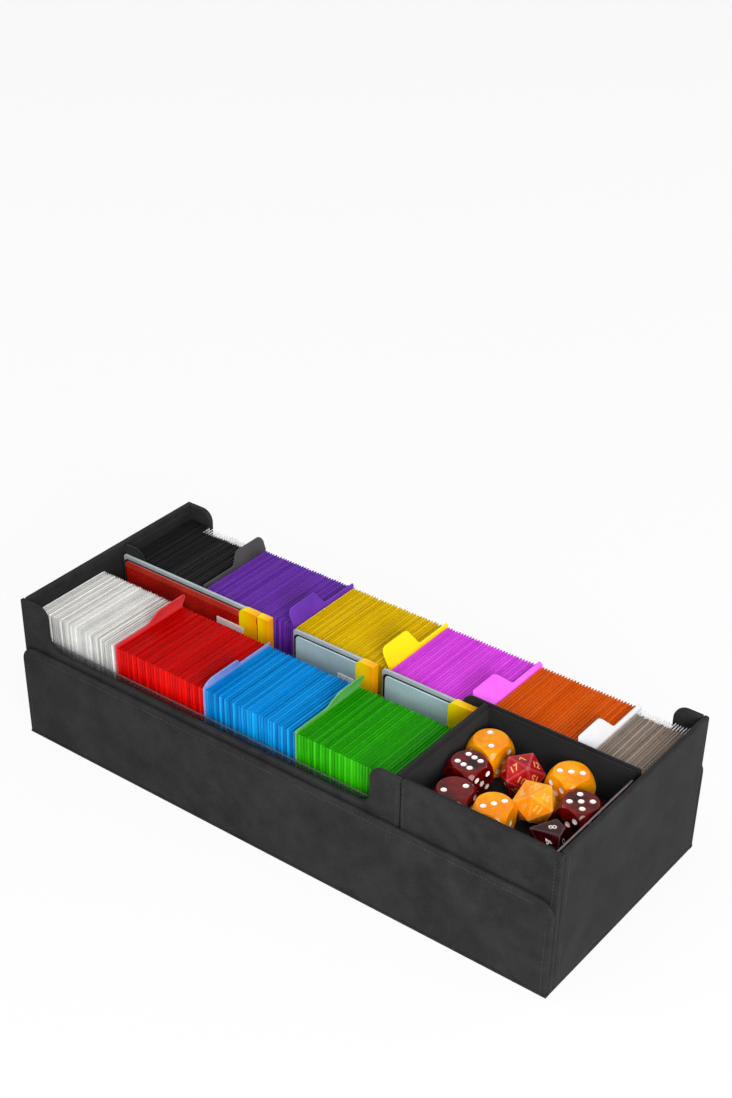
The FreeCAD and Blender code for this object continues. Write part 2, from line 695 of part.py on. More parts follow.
def make_packs():
    """Makes the packs of spare sleeves: a block with a raised rim behind it, and a band at its end."""
    channel = minus(CROSS_WALL_LEFT, LEFT_LINED, times(size("pack_gap"), 2))
    thick = size("pack_thickness")
    height = plus(size("card_height"), size("pack_extra_height"))
    front = minus(PARTITION_FRONT, size("pack_clearance"), thick)
    rim = minus(thick, size("pack_rim_thickness"))
    shoulder = minus(height, size("pack_rim_rise"))
    profile = [("0", "0"), (thick, "0"), (thick, height), (rim, height), (rim, shoulder), ("0", shoulder)]
    for name, start_share, length_share, band_share in zip(PACKS, PACK_START_SHARES, PACK_LENGTH_SHARES,
                                                           PACK_BAND_SHARES):
        x_low = plus(LEFT_LINED, size("pack_gap"), times(channel, start_share))
        length = times(channel, length_share)
        band = times(length, band_share)
        body = doc.addObject("PartDesign::Body", f"{name}_sleeves")
        pad(body, f"{name}_sleeves", "YZ_Plane", profile, minus(length, band))
        set_place(body, x_low, front, CARD_FOOT)
        part(body, f"{name}_sleeve_pack")
        x_high = plus(x_low, length)
        part(block(f"{name}_band", minus(x_high, band), x_high, front, plus(front, thick), CARD_FOOT,
                   plus(CARD_FOOT, height)), f"{name}_pack_band")


make_cover()
make_box()
make_partition()
make_bay()
make_tray()
make_dice()
make_rows()
make_packs()
doc.recompute()

for obj in doc.Objects:
    if "Invalid" in obj.State or "Error" in obj.State:
        raise RuntimeError(f"{obj.Label} did not build: {obj.State}")
for piece in parts:
    if piece.Shape.isNull() or not piece.Shape.isValid() or piece.Shape.Volume <= 0:
        raise RuntimeError(f"{piece.Label} has no sound shape")

os.makedirs("parts", exist_ok=True)
for piece in parts:
    piece.Shape.exportStep(f"parts/{piece.Label}.step")
print(f"{len(parts)} parts written")
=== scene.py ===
"""Looks of the card storage box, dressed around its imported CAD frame."""
import math
import random

import bmesh
import bpy
from mathutils import Matrix, Vector, noise


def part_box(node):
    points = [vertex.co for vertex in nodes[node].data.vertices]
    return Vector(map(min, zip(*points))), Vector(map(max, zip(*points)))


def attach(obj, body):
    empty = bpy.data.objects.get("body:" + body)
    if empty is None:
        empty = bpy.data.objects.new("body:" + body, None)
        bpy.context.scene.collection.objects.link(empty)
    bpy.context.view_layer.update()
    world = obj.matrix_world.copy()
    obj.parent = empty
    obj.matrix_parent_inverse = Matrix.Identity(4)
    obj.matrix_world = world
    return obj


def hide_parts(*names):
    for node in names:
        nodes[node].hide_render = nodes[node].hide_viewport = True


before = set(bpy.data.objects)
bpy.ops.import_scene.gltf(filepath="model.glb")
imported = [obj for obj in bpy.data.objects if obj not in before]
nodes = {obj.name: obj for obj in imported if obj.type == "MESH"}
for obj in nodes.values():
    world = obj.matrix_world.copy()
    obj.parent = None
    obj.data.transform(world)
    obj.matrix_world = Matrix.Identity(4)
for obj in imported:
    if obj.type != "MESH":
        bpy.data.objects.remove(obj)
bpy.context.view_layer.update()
MM = 0.001
UP, RIGHT, AWAY = Vector((0, 0, 1)), Vector((1, 0, 0)), Vector((0, 1, 0))


# Materials

def rgb(red, green, blue):
    """Gives a display colour, in steps from 0 to 255, as a linear one."""
    shares = [level / 255 for level in (red, green, blue)]
    return *[s / 12.92 if s <= 0.04045 else ((s + 0.055) / 1.055) ** 2.4 for s in shares], 1.0


class Look:
    """One procedural material, built node by node around a Principled shader."""

    def __init__(self, name, **sockets):
        self.material = bpy.data.materials.new(name)
        self.material.use_nodes = True
        self.tree = self.material.node_tree
        self.shader = self.tree.nodes["Principled BSDF"]
        self.place = self.node("ShaderNodeTexCoord").outputs["Object"]
        self.shape = self.node("ShaderNodeNewGeometry").outputs
        for socket, value in sockets.items():
            self.shader.inputs[socket.replace("_", " ")].default_value = value

    def node(self, kind, inputs=None, **settings):
        made = self.tree.nodes.new(kind)
        for setting, value in settings.items():
            setattr(made, setting, value)
        for socket, value in (inputs or {}).items():
            if isinstance(value, bpy.types.NodeSocket):
                self.tree.links.new(value, made.inputs[socket])
            else:
                made.inputs[socket].default_value = value
        return made

    def noise(self, scale, detail=2.0, stretch=None, rough=0.5):
        """A noise of so many waves in a metre, or along each axis by its stretch."""
        place = self.place
        if stretch:
            place = self.node("ShaderNodeMapping", {"Vector": place, "Scale": stretch}).outputs["Vector"]
        inputs = {"Vector": place, "Scale": scale, "Detail": detail, "Roughness": rough}
        return self.node("ShaderNodeTexNoise", inputs).outputs["Fac"]

    def ramp(self, share, *stops):
        made = self.node("ShaderNodeValToRGB", {"Fac": share})
        while len(made.color_ramp.elements) < len(stops):
            made.color_ramp.elements.new(1.0)
        for element, (position, colour) in zip(made.color_ramp.elements, stops):
            element.position = position
            element.color = colour if hasattr(colour, "__len__") else (colour, colour, colour, 1.0)
        return made.outputs["Color"]

    def combine(self, operation, first, second):
        return self.node("ShaderNodeMath", {0: first, 1: second}, operation=operation).outputs["Value"]

    def mix(self, share, first, second):
        made = self.node("ShaderNodeMix", data_type="RGBA")
        for socket, value in ((0, share), (6, first), (7, second)):
            if isinstance(value, bpy.types.NodeSocket):
                self.tree.links.new(value, made.inputs[socket])
            else:
                made.inputs[socket].default_value = value
        return made.outputs[2]

    def edges(self, reach, full=0.80):
        """A mask for a solid's edges, within a reach in metres, white where the turn's cosine is full."""
        rounded = self.node("ShaderNodeBevel", {"Radius": reach}, samples=6).outputs["Normal"]
        both = {0: rounded, 1: self.shape["Normal"]}
        turn = self.node("ShaderNodeVectorMath", both, operation="DOT_PRODUCT").outputs["Value"]
        return self.ramp(turn, (full, 1.0), (0.995, 0.0))

    def set(self, socket, value):
        self.tree.links.new(value, self.shader.inputs[socket])

    def bump(self, height, depth, strength=1.0):
        """Raises the surface by the height map, up to that depth in metres."""
        made = self.node("ShaderNodeBump", {"Height": height, "Distance": depth, "Strength": strength})
        self.set("Normal", made.outputs["Normal"])


def wrap_look(name, dark, light, pale_edge):
    """Brushed synthetic hide: clouded tone, fine nap, and edges that are rubbed lighter."""
    look = Look(name, Roughness=0.78, Specular_IOR_Level=0.05, Sheen_Weight=0.01, Sheen_Roughness=0.45)
    cloud = look.noise(26, 4.0, rough=0.6)
    blotch = look.noise(95, 3.0)
    nap = look.noise(1500, 2.0, rough=0.7)
    tone = look.mix(0.4, look.mix(0.4, cloud, blotch), nap)
    colour = look.ramp(tone, (0.38, dark), (0.62, light))
    rub = look.combine("MULTIPLY", look.edges(0.0016), look.ramp(blotch, (0.3, 0.35), (0.7, 1.0)))
    look.set("Base Color", look.mix(rub, colour, pale_edge))
    look.set("Roughness", look.ramp(blotch, (0.3, 0.62), (0.7, 0.80)))
    look.bump(look.mix(0.7, blotch, nap), 0.00022, 0.6)
    return look.material


def lining_look(name, dark, light):
    """Short-pile microfibre inside the box and the tray."""
    look = Look(name, Roughness=0.9, Specular_IOR_Level=0.1, Sheen_Weight=0.12, Sheen_Roughness=0.5)
    pile = look.noise(2200, 2.0, rough=0.7)
    brushed = look.noise(60, 3.0, stretch=(1.0, 1.0, 2.5))
    look.set("Base Color", look.ramp(look.mix(0.5, pile, brushed), (0.35, dark), (0.65, light)))
    look.bump(pile, 0.00012, 0.5)
    return look.material


def sleeve_look(name, dark, light, painted_top_shade):
    """Sleeve film: every sleeve has a tone of its own and streaked sides, and its upward faces are painted
    darker as painted shade.
    """
    look = Look(name, IOR=1.48, Specular_IOR_Level=0.12)
    streak = look.noise(700, 2.0, stretch=(1.0, 1.0, 0.04))
    haze = look.noise(120, 2.0)
    tone = look.mix(0.6, streak, look.shape["Random Per Island"])
    side = look.ramp(look.mix(0.2, tone, haze), (0.2, dark), (0.75, light))
    upward = look.node("ShaderNodeSeparateXYZ", {"Vector": look.shape["Normal"]}).outputs["Z"]
    # The mouth tone is painted shade: upward faces are darkened for tops that get less light and for the
    # shade inside the sleeves' mouths.
    shaded = look.mix(0.12, painted_top_shade, side)
    look.set("Base Color", look.mix(look.ramp(upward, (0.5, 0.0), (0.8, 1.0)), side, shaded))
    look.set("Roughness", look.ramp(haze, (0.3, 0.34), (0.7, 0.52)))
    look.bump(streak, 0.00006, 0.4)
    return look.material


def sheet_look(name, dark, light, solid=1.0):
    """Frosted divider sheet: an even plastic, more or less see-through, with a fine grain."""
    look = Look(name, IOR=1.46, Specular_IOR_Level=0.15, Alpha=solid)
    grain = look.noise(2600, 2.0, rough=0.6)
    haze = look.noise(45, 3.0)
    colour = look.ramp(look.mix(0.35, haze, grain), (0.3, dark), (0.7, light))
    look.set("Base Color", look.mix(look.edges(0.0007), colour, light))
    look.set("Roughness", look.ramp(haze, (0.3, 0.34), (0.7, 0.48)))
    look.bump(grain, 0.00005, 0.5)
    return look.material


def film_look(name, dark, light, rough=0.22):
    """Glossy film of a sleeve pack, with soft wrinkles and small scuffs."""
    look = Look(name, IOR=1.5, Specular_IOR_Level=0.5, Coat_Weight=0.3, Coat_Roughness=0.12)
    wrinkle = look.noise(38, 3.0, stretch=(1.0, 1.0, 1.8))
    scuff = look.noise(900, 2.0, rough=0.7)
    look.set("Base Color", look.ramp(look.mix(0.08, wrinkle, scuff), (0.32, dark), (0.68, light)))
    look.set("Roughness", look.ramp(scuff, (0.3, rough), (0.75, rough + 0.14)))
    look.bump(wrinkle, 0.0004, 0.4)
    return look.material


def card_look(name, first, last, edge):
    """Printed card stock: a tone that changes along its length, with paper fibre and a lighter cut edge."""
    look = Look(name, Specular_IOR_Level=0.3)
    fibre = look.noise(1600, 3.0, rough=0.65)
    cloud = look.noise(55, 2.0)
    span = look.node("ShaderNodeTexCoord").outputs["Generated"]
    along = look.node("ShaderNodeSeparateXYZ", {"Vector": span}).outputs["X"]
    colour = look.ramp(look.mix(0.12, along, fibre), (0.1, first), (0.9, last))
    look.set("Base Color", look.mix(look.edges(0.0005), colour, edge))
    look.set("Roughness", look.ramp(cloud, (0.3, 0.30), (0.7, 0.42)))
    look.bump(fibre, 0.00004, 0.4)
    return look.material


def clear_look(name, colour, edge, solid):
    """Clear plastic with faint haze and fine scratches, whose cut edges and upward faces are painted lighter
    and more solid, a painted highlight where they catch the light.
    """
    look = Look(name, IOR=1.45)
    scratch = look.noise(500, 2.0, stretch=(0.08, 0.08, 1.0))
    haze = look.noise(30, 2.0)
    upward = look.node("ShaderNodeSeparateXYZ", {"Vector": look.shape["Normal"]}).outputs["Z"]
    # Cut edges and upward faces take the edge colour: a painted highlight.
    cut = look.combine("MAXIMUM", look.edges(0.0006), look.ramp(upward, (0.3, 0.0), (0.6, 1.0)))
    faded = tuple(0.85 * level for level in colour[:3]) + (1.0,)
    look.set("Base Color", look.mix(cut, look.ramp(haze, (0.3, faded), (0.7, colour)), edge))
    look.set("Alpha", look.ramp(cut, (0.0, solid), (1.0, 0.85)))
    look.set("Roughness", look.ramp(scratch, (0.35, 0.08), (0.8, 0.2)))
    return look.material


def resin_look(name, dark, light, through, rough=0.10, pale_edge=None):
    """Cast dice resin: swirled colour under a polished surface, painted paler along its edges as a painted
    highlight.
    """
    look = Look(name, IOR=1.5, Transmission_Weight=through, Specular_IOR_Level=0.15, Coat_Weight=0.05,
                Coat_Roughness=0.03)
    swirl = look.noise(85, 4.0, rough=0.6)
    speck = look.noise(1100, 2.0)
    colour = look.ramp(look.mix(0.15, swirl, speck), (0.40, dark), (0.62, light))
    # The pale edge colour is a painted highlight along the dice's rounded edges.
    if pale_edge:
        colour = look.mix(look.edges(0.0018, 0.95), colour, pale_edge)
    look.set("Base Color", colour)
    look.set("Roughness", look.ramp(speck, (0.3, rough), (0.75, rough + 0.10)))
    return look.material


def paint_look(name, dark, light, metal=0.0, rough=0.4):
    """Paint laid in pips and numerals, slightly uneven."""
    look = Look(name, Metallic=metal)
    uneven = look.noise(1400, 3.0)
    look.set("Base Color", look.ramp(uneven, (0.3, dark), (0.7, light)))
    look.set("Roughness", look.ramp(uneven, (0.3, rough), (0.7, rough + 0.15)))
    look.bump(uneven, 0.00004, 0.4)
    return look.material


def steel_look(name):
    """Plated steel of magnets and keepers, with a brushed grain."""
    look = Look(name, Metallic=1.0)
    grain = look.noise(1800, 2.0, stretch=(0.03, 1.0, 1.0))
    look.set("Base Color", look.ramp(grain, (0.3, rgb(150, 150, 152)), (0.7, rgb(196, 196, 198))))
    look.set("Roughness", look.ramp(grain, (0.3, 0.25), (0.7, 0.42)))
    return look.material


WRAP = wrap_look("black_wrap", rgb(34, 33, 34), rgb(56, 55, 56), rgb(58, 57, 57))
LINING = lining_look("black_lining", rgb(18, 18, 19), rgb(31, 30, 32))
THREAD = wrap_look("stitch_thread", rgb(46, 45, 46), rgb(66, 65, 66), rgb(70, 69, 70))
# The second colour of each clear look is the painted highlight on its cut edges and tops.
PANE = clear_look("clear_pane", rgb(46, 46, 48), rgb(84, 84, 86), 0.4)
TRAY_PANE = clear_look("tray_pane", rgb(92, 78, 78), rgb(152, 132, 132), 0.4)
CLEAR_FILM = clear_look("clear_film", rgb(226, 226, 228), rgb(255, 255, 255), 0.12)
STEEL = steel_look("magnet_steel")
PIP_WHITE = paint_look("pip_white", rgb(232, 230, 224), rgb(250, 249, 245))
GOLD = paint_look("numeral_gold", rgb(214, 170, 70), rgb(246, 212, 120), metal=0.3, rough=0.3)
LABEL = card_look("blank_label", rgb(246, 245, 242), rgb(255, 254, 252), rgb(255, 255, 254))
BAND = card_look("band_card", rgb(255, 232, 0), rgb(255, 170, 0), rgb(255, 226, 80))
RIM = film_look("pack_rim", rgb(152, 164, 168), rgb(182, 194, 198), 0.3)
# A dark sheet set in the groove between a pack's plate and face: painted shade, where the groove is only a
# gap.
GROOVE_SHADE_LOOK = sleeve_look("pack_filling", rgb(16, 16, 18), rgb(34, 34, 38), rgb(22, 22, 24))
PACK_FILMS = {
    "red": film_look("red_pack_film", rgb(146, 8, 5), rgb(190, 26, 16)),
    "first_grey": film_look("grey_pack_film", rgb(156, 182, 188), rgb(178, 202, 208)),
}
PACK_FILMS["second_grey"] = PACK_FILMS["first_grey"]
# The red pack's fold is a proud strip of film whose paler red is a painted highlight, the reflection band
# along its top.
FOLD_PAINTED_HIGHLIGHT = film_look("red_fold_painted_highlight", rgb(172, 40, 28), rgb(206, 66, 48))
ORANGE_RESIN = resin_look("orange_resin", rgb(250, 140, 0), rgb(255, 172, 8), 0.0)
ORANGE_BALL = resin_look("orange_ball_resin", rgb(250, 138, 2), rgb(255, 172, 24), 0.0,
                         pale_edge=rgb(255, 200, 130))
GARNET = resin_look("garnet_resin", rgb(24, 0, 1), rgb(122, 9, 8), 0.15, 0.05, pale_edge=rgb(136, 18, 16))
RED_BALL = resin_look("red_ball_resin", rgb(150, 6, 10), rgb(204, 18, 22), 0.1, pale_edge=rgb(214, 140, 156))
DARK_RESIN = resin_look("dark_resin", rgb(26, 2, 4), rgb(74, 8, 11), 0.2, 0.06, pale_edge=rgb(120, 66, 70))

# The tones of each stack: the darkest and lightest of its sides, and the painted shade of its sleeves' tops
# and mouths.
SLEEVE_COLOURS = {
    "white": (rgb(168, 167, 164), rgb(255, 255, 253), rgb(235, 232, 227)),
    "red": (rgb(180, 0, 0), rgb(250, 14, 9), rgb(166, 0, 0)),
    "blue": (rgb(0, 90, 168), rgb(18, 176, 248), rgb(0, 152, 224)),
    "green": (rgb(26, 138, 0), rgb(60, 208, 12), rgb(25, 139, 0)),
    "black": (rgb(18, 18, 19), rgb(42, 42, 44), rgb(29, 29, 30)),
    "purple": (rgb(92, 37, 158), rgb(138, 73, 212), rgb(110, 57, 159)),
    "yellow": (rgb(214, 174, 0), rgb(255, 234, 6), rgb(214, 175, 0)),
    "pink": (rgb(208, 56, 222), rgb(248, 106, 250), rgb(214, 74, 221)),
    "orange": (rgb(196, 76, 0), rgb(242, 112, 2), rgb(213, 88, 0)),
    "clear": (rgb(72, 62, 53), rgb(212, 200, 188), rgb(150, 133, 120)),
}
# The tones of each divider sheet, and how solid it looks.
SHEET_COLOURS = {
    "red": (rgb(222, 40, 46), rgb(238, 82, 88), 0.9),
    "blue": (rgb(116, 150, 226), rgb(164, 186, 244), 0.75),
    "green": (rgb(84, 178, 72), rgb(128, 208, 116), 0.8),
    "black": (rgb(62, 60, 61), rgb(84, 82, 83), 1.0),
    "purple": (rgb(92, 42, 164), rgb(118, 62, 192), 1.0),
    "yellow": (rgb(255, 228, 0), rgb(255, 240, 20), 1.0),
    "pink": (rgb(248, 80, 252), rgb(255, 120, 255), 1.0),
    "white": (rgb(224, 224, 226), rgb(240, 240, 242), 1.0),
}


# Shapes

def mesh_of(name, points, faces, smooth=False):
    mesh = bpy.data.meshes.new(name)
    mesh.from_pydata([tuple(p) for p in points], [], faces)
    mesh.update()
    if smooth:
        mesh.shade_smooth()
    return mesh


def piece(name, mesh, body, looks, slot, *stands_for):
    """Adds a piece that rides on a body, takes the given looks, and may stand for CAD nodes; its slot is not
    used.
    """
    made = bpy.data.objects.new(name, mesh)
    bpy.context.scene.collection.objects.link(made)
    if not mesh.materials:
        for look in looks:
            mesh.materials.append(look)
    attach(made, body)
    if stands_for:
        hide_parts(*stands_for)


def settle(mesh, *modifiers):
    """Gives a copy of a mesh with modifiers applied, each a kind and its settings."""
    holder = bpy.data.objects.new("holder", mesh)
    bpy.context.scene.collection.objects.link(holder)
    for kind, settings in modifiers:
        made = holder.modifiers.new(kind, kind)
        for setting, value in settings.items():
            setattr(made, setting, value)
    shown = holder.evaluated_get(bpy.context.evaluated_depsgraph_get())
    result = bpy.data.meshes.new_from_object(shown)
    bpy.data.objects.remove(holder)
    return result


WELD_REACH = 0.002 * MM
FLAT_ANGLE = math.radians(0.5)
SHARP_ANGLE = math.radians(35)
EVEN_SHADING = ("WEIGHTED_NORMAL", {"weight": 50})


def rounding(width, segments=3):
    """Modifiers that round a solid's sharp edges by a width in millimetres."""
    return (("WELD", {"merge_threshold": WELD_REACH}),
            ("DECIMATE", {"decimate_type": "DISSOLVE", "angle_limit": FLAT_ANGLE}),
            ("BEVEL", {"width": width * MM, "segments": segments, "limit_method": "ANGLE",
                       "angle_limit": SHARP_ANGLE}),
            EVEN_SHADING)


def dress(node, look, width):
    """Gives a CAD node its material, and rounds its edges by a width in millimetres."""
    shown = nodes[node]
    for slot in shown.material_slots:
        slot.link = "OBJECT"
        slot.material = look
    for kind, settings in rounding(width):
        made = shown.modifiers.new(kind.lower(), kind)
        for setting, value in settings.items():
            setattr(made, setting, value)


def prism(name, outline, front, back, edge):
    """A slab with an outline, seen from the front, and rounded edges."""
    shape = bmesh.new()
    rings = [[shape.verts.new((x, y, z)) for x, z in outline] for y in (front, back)]
    shape.faces.new(rings[0])
    shape.faces.new(rings[1][::-1])
    for i, start in enumerate(rings[0]):
        nxt = (i + 1) % len(outline)
        shape.faces.new((start, rings[1][i], rings[1][nxt], rings[0][nxt]))
    bmesh.ops.recalc_face_normals(shape, faces=shape.faces)
    sharp = [e for e in shape.edges if e.calc_face_angle(0) > SHARP_ANGLE]
    bmesh.ops.bevel(shape, geom=sharp, offset=edge, segments=3, profile=0.5, affect="EDGES")
    mesh = bpy.data.meshes.new(name)
    shape.to_mesh(mesh)
    shape.free()
    mesh.shade_smooth()
    return settle(mesh, EVEN_SHADING)


def tube(faces, first, count, rings):
    """Adds the faces of a closed tube, whose points follow each other ring by ring from the first."""
    faces.append([first + i for i in reversed(range(count))])
    for ring in range(rings - 1):
        low = first + ring * count
        for i in range(count):
            after = (i + 1) % count
            faces.append((low + i, low + after, low + count + after, low + count + i))
    faces.append([first + (rings - 1) * count + i for i in range(count)])


def corner(centre, radius, start, steps=6):
    """Points of a quarter turn about a centre, from a start angle in degrees."""
    turns = [math.radians(start + 90 * i / steps) for i in range(steps + 1)]
    return [(centre[0] + radius * math.cos(t), centre[1] + radius * math.sin(t)) for t in turns]


# Boards, panes and tray

# Each look, how far edges are rounded in millimetres, and the nodes that get it.
DRESSING = (
    (WRAP, 0.5, ("cover_base_panel", "front_fold_strip", "back_fold_strip")),
    (WRAP, 1.1, ("front_flap_board", "back_flap_board")),
    (WRAP, 1.2, ("front_wall", "back_wall", "bay_front_panel", "left_end_wall", "right_end_wall")),
    (LINING, 0.5, ("box_floor", "left_end_lining", "right_end_lining", "partition_wall", "bay_cross_wall",
                   "bay_left_riser", "bay_right_riser", "tray_floor", "tray_left_wall", "tray_front_wall",
                   "tray_back_wall")),
    (PANE, 0.2, ("front_clear_pane", "back_clear_pane")),
    (TRAY_PANE, 0.3, ("tray_clear_pane",)),
    (STEEL, 0.2, ("front_flap_magnets", "back_flap_magnets", "front_keeper_plates", "back_keeper_plates")),
)
for look, width, names in DRESSING:
    for node in names:
        dress(node, look, width)


# Card stacks: every sleeve is a film pocket of its own

FRONT_TAPER, BACK_TAPER = 0.9 * MM, 2.8 * MM
BLUNT_SHARE, THIN_SHARE = 0.7, 0.18
FILM = 0.12 * MM
CLEAR_MARGIN = 6.5 * MM
# Where along a stack its sleeves start to show a clear margin, and half its width.
CLEAR_ENDS = {"black": (17 * MM, 0.34 * MM), "clear": (0.0, 0.45 * MM)}
# How far apart the sleeves of each stack stand, and how loosely.
SPREADS = {
    "white": (2.0 * MM, 0.25),
    "red": (2.4 * MM, 0.2),
    "blue": (2.3 * MM, 0.35),
    "green": (2.4 * MM, 0.15),
    "black": (2.3 * MM, 0.3),
    "purple": (2.2 * MM, 0.15),
    "yellow": (2.3 * MM, 0.4),
    "pink": (2.2 * MM, 0.1),
    "orange": (2.2 * MM, 0.1),
    "clear": (2.0 * MM, 0.1),
}
# The share of its space that a sleeve fills, what looseness takes off it, and by how much that varies.
FULL_SHARE, LOOSE_SHARE, VARIED_SHARE = 0.88, 0.25, 0.07
# How the spaces vary, how many of them have a gap, and how wide that is.
SPACE_RANGE, GAP_CHANCE, GAP_RANGE = (-0.12, 0.15), 0.3, (0.2, 0.6)
# How uneven the sleeves' tops, fronts and backs are when tight, by looseness, and in waves, in millimetres.
TOP_UNEVEN, FRONT_UNEVEN, BACK_UNEVEN = (0.08, 0.5, 0.15), (0.2, 0.6, 0.2), (0.3, 1.4, 0.2)
TOP_DROP, SKEW = 0.15 * MM, 0.5 * MM
MOUTH_RANGE = (0.3 * MM, 0.8 * MM)
WAVE_STEP, SKEW_STEP = 0.17, 0.08


def sleeve(points, faces, x, thick, front, back, foot, top, depth, skew):
    """Adds one sleeve: a flat pocket, blunt at the front, thin at its sealed back and open at the top."""
    half = thick / 2
    blunt, thin = half * BLUNT_SHARE, half * THIN_SHARE
    plan = ((-blunt, front), (blunt, front), (half, front + FRONT_TAPER), (half, back - BACK_TAPER),
            (thin, back), (-thin, back), (-half, back - BACK_TAPER), (-half, front + FRONT_TAPER))
    first = len(points)
    share = max(0.0, 1 - FILM / half)
    middle = (front + back) / 2
    rings = ((foot, 1.0, 0.0), (top, 1.0, 0.0), (top, share, FILM), (top - depth, share, FILM))
    for level, width, inset in rings:
        for across, y in plan:
            bent = skew * (y - middle) / (back - front) * (1 + (level - foot) / (top - foot))
            y_in = y + (inset if y < middle else -inset)
            points.append((x + across * width + bent, y_in, level))
    tube(faces, first, len(plan), len(rings))


def film_end(points, faces, x, wide, front, back, foot, top):
    """Adds the clear margin of one sleeve, which narrows to its end."""
    first = len(points)
    thin = wide / 2
    plan = ((-wide, front), (wide, front), (thin, back), (-thin, back))
    for level in (foot, top):
        points.extend((x + across, y, level) for across, y in plan)
    for face in ((3, 2, 1, 0), (4, 5, 6, 7), (0, 1, 5, 4), (1, 2, 6, 5), (2, 3, 7, 6), (3, 0, 4, 7)):
        faces.append([first + i for i in face])


def stack(colour, seed):
    """Fills a stack's place with sleeves of uneven height, grouped with small gaps."""
    low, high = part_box(f"{colour}_card_stack")
    draw = random.Random(seed)
    pitch, loose = SPREADS[colour]
    count = round((high.x - low.x) / pitch)
    spaces = []
    for _ in range(count):
        varied = draw.uniform(*SPACE_RANGE)
        gap = (draw.random() < GAP_CHANCE) * draw.uniform(*GAP_RANGE)
        spaces.append(1 + loose * (varied + gap))
    unit = (high.x - low.x) / sum(spaces)
    clear_start, clear_width = CLEAR_ENDS.get(colour, (high.x - low.x, 0.0))

    def uneven(amounts, wave):
        tight, slack, sway = amounts
        return ((tight + slack * loose) * draw.random() ** 2 + sway * loose * wave) * MM

    points, faces, x = [], [], low.x
    ends, end_faces = [], []
    for i, space in enumerate(spaces):
        wave = noise.noise(Vector((i * WAVE_STEP, seed * 3.7, 0.0)))
        clear = x - low.x >= clear_start
        thick = unit * (FULL_SHARE - LOOSE_SHARE * loose + VARIED_SHARE * loose * draw.uniform(-1, 1))
        top = high.z - TOP_DROP - uneven(TOP_UNEVEN, wave + 1)
        front = low.y + uneven(FRONT_UNEVEN, wave + 1)
        back = high.y - (CLEAR_MARGIN if clear else 0) - uneven(BACK_UNEVEN, 1 - wave)
        skew = SKEW * loose * noise.noise(Vector((i * SKEW_STEP, seed * 1.3, 5.0)))
        centre = x + unit * min(space, 1.0) / 2
        depth = draw.uniform(*MOUTH_RANGE)
        sleeve(points, faces, centre, thick, front, back, low.z, top, depth, skew)
        if clear:
            start = back - draw.uniform(0.2, 2.0) * MM
            end = high.y - draw.uniform(0.1, 2.0) * MM
            end_top = top - draw.uniform(0.0, 0.3) * MM
            film_end(ends, end_faces, centre + skew, clear_width, start, end, low.z, end_top)
        x += unit * space
    look = sleeve_look(f"{colour}_sleeves", *SLEEVE_COLOURS[colour])
    piece(f"{colour}_sleeves", mesh_of(f"{colour}_sleeves", points, faces), f"{colour}_cards", [look],
          f"{colour}_sleeves", f"{colour}_card_stack")
    if ends:
        piece(f"{colour}_sleeve_ends", mesh_of(f"{colour}_sleeve_ends", ends, end_faces), f"{colour}_cards",
              [CLEAR_FILM], "clear_plastic")


SHEET_ROUND = 0.25
for seed, colour in enumerate(SLEEVE_COLOURS, 1):
    stack(colour, seed)
for colour, tones in SHEET_COLOURS.items():
    dress(f"{colour}_divider", sheet_look(f"{colour}_sheet", *tones), SHEET_ROUND)


# Packs of spare sleeves, with a card band at the end of each

PLATE_ROUND, FACE_ROUND, BAND_ROUND, LABEL_ROUND = 2.2 * MM, 3.0 * MM, 5.0 * MM, 0.6 * MM
PLATE_EDGE, FACE_EDGE, SHADE_SHEET_EDGE, BAND_EDGE = 0.5 * MM, 0.6 * MM, 0.2 * MM, 0.35 * MM
FOLD_EDGE, LABEL_EDGE = 0.1 * MM, 0.05 * MM
PLATE_DEPTH, GROOVE = 1.8 * MM, 1.9 * MM
PLATE_DROP, FACE_DROP, SHADE_SHEET_DROP = 0.3 * MM, 2.4 * MM, 3.1 * MM
BAND_PROUD, FOLD_PROUD, LABEL_PROUD = 0.3 * MM, 0.25 * MM, 0.45 * MM
FACE_INSET, FOLD_HEIGHT = 4.5 * MM, 7.0 * MM
# How far a pack ends inside its band, what lies on its face sinks into it, and the dark sheet of painted
# shade in its groove stays clear.
BAND_COVER, LAID_SINK, SHADE_SHEET_GAP = 0.6 * MM, 0.2 * MM, 0.1 * MM
CREASE, CREASE_SHARE = 0.8 * MM, 0.6
LABEL_HEIGHT = 5.2 * MM
# How far a pack's label starts before its band, its length, and how far it lies below the top.
LABELS = {"red": (20.2 * MM, 24.2 * MM, 14.6 * MM), "first_grey": (14.5 * MM, 13.0 * MM, 16.6 * MM)}


def bent_corner(left, right, foot, top, turn):
    """An outline whose left top corner is rounded."""
    return [(right, foot), (right, top), *corner((left + turn, top - turn), turn, 90), (left, foot)]


def slab(name, outline, front, back, edge, *held):
    """Adds a slab as a piece, held by the body, looks, slot and nodes that a piece takes."""
    piece(name, prism(name, outline, front, back, edge), *held)


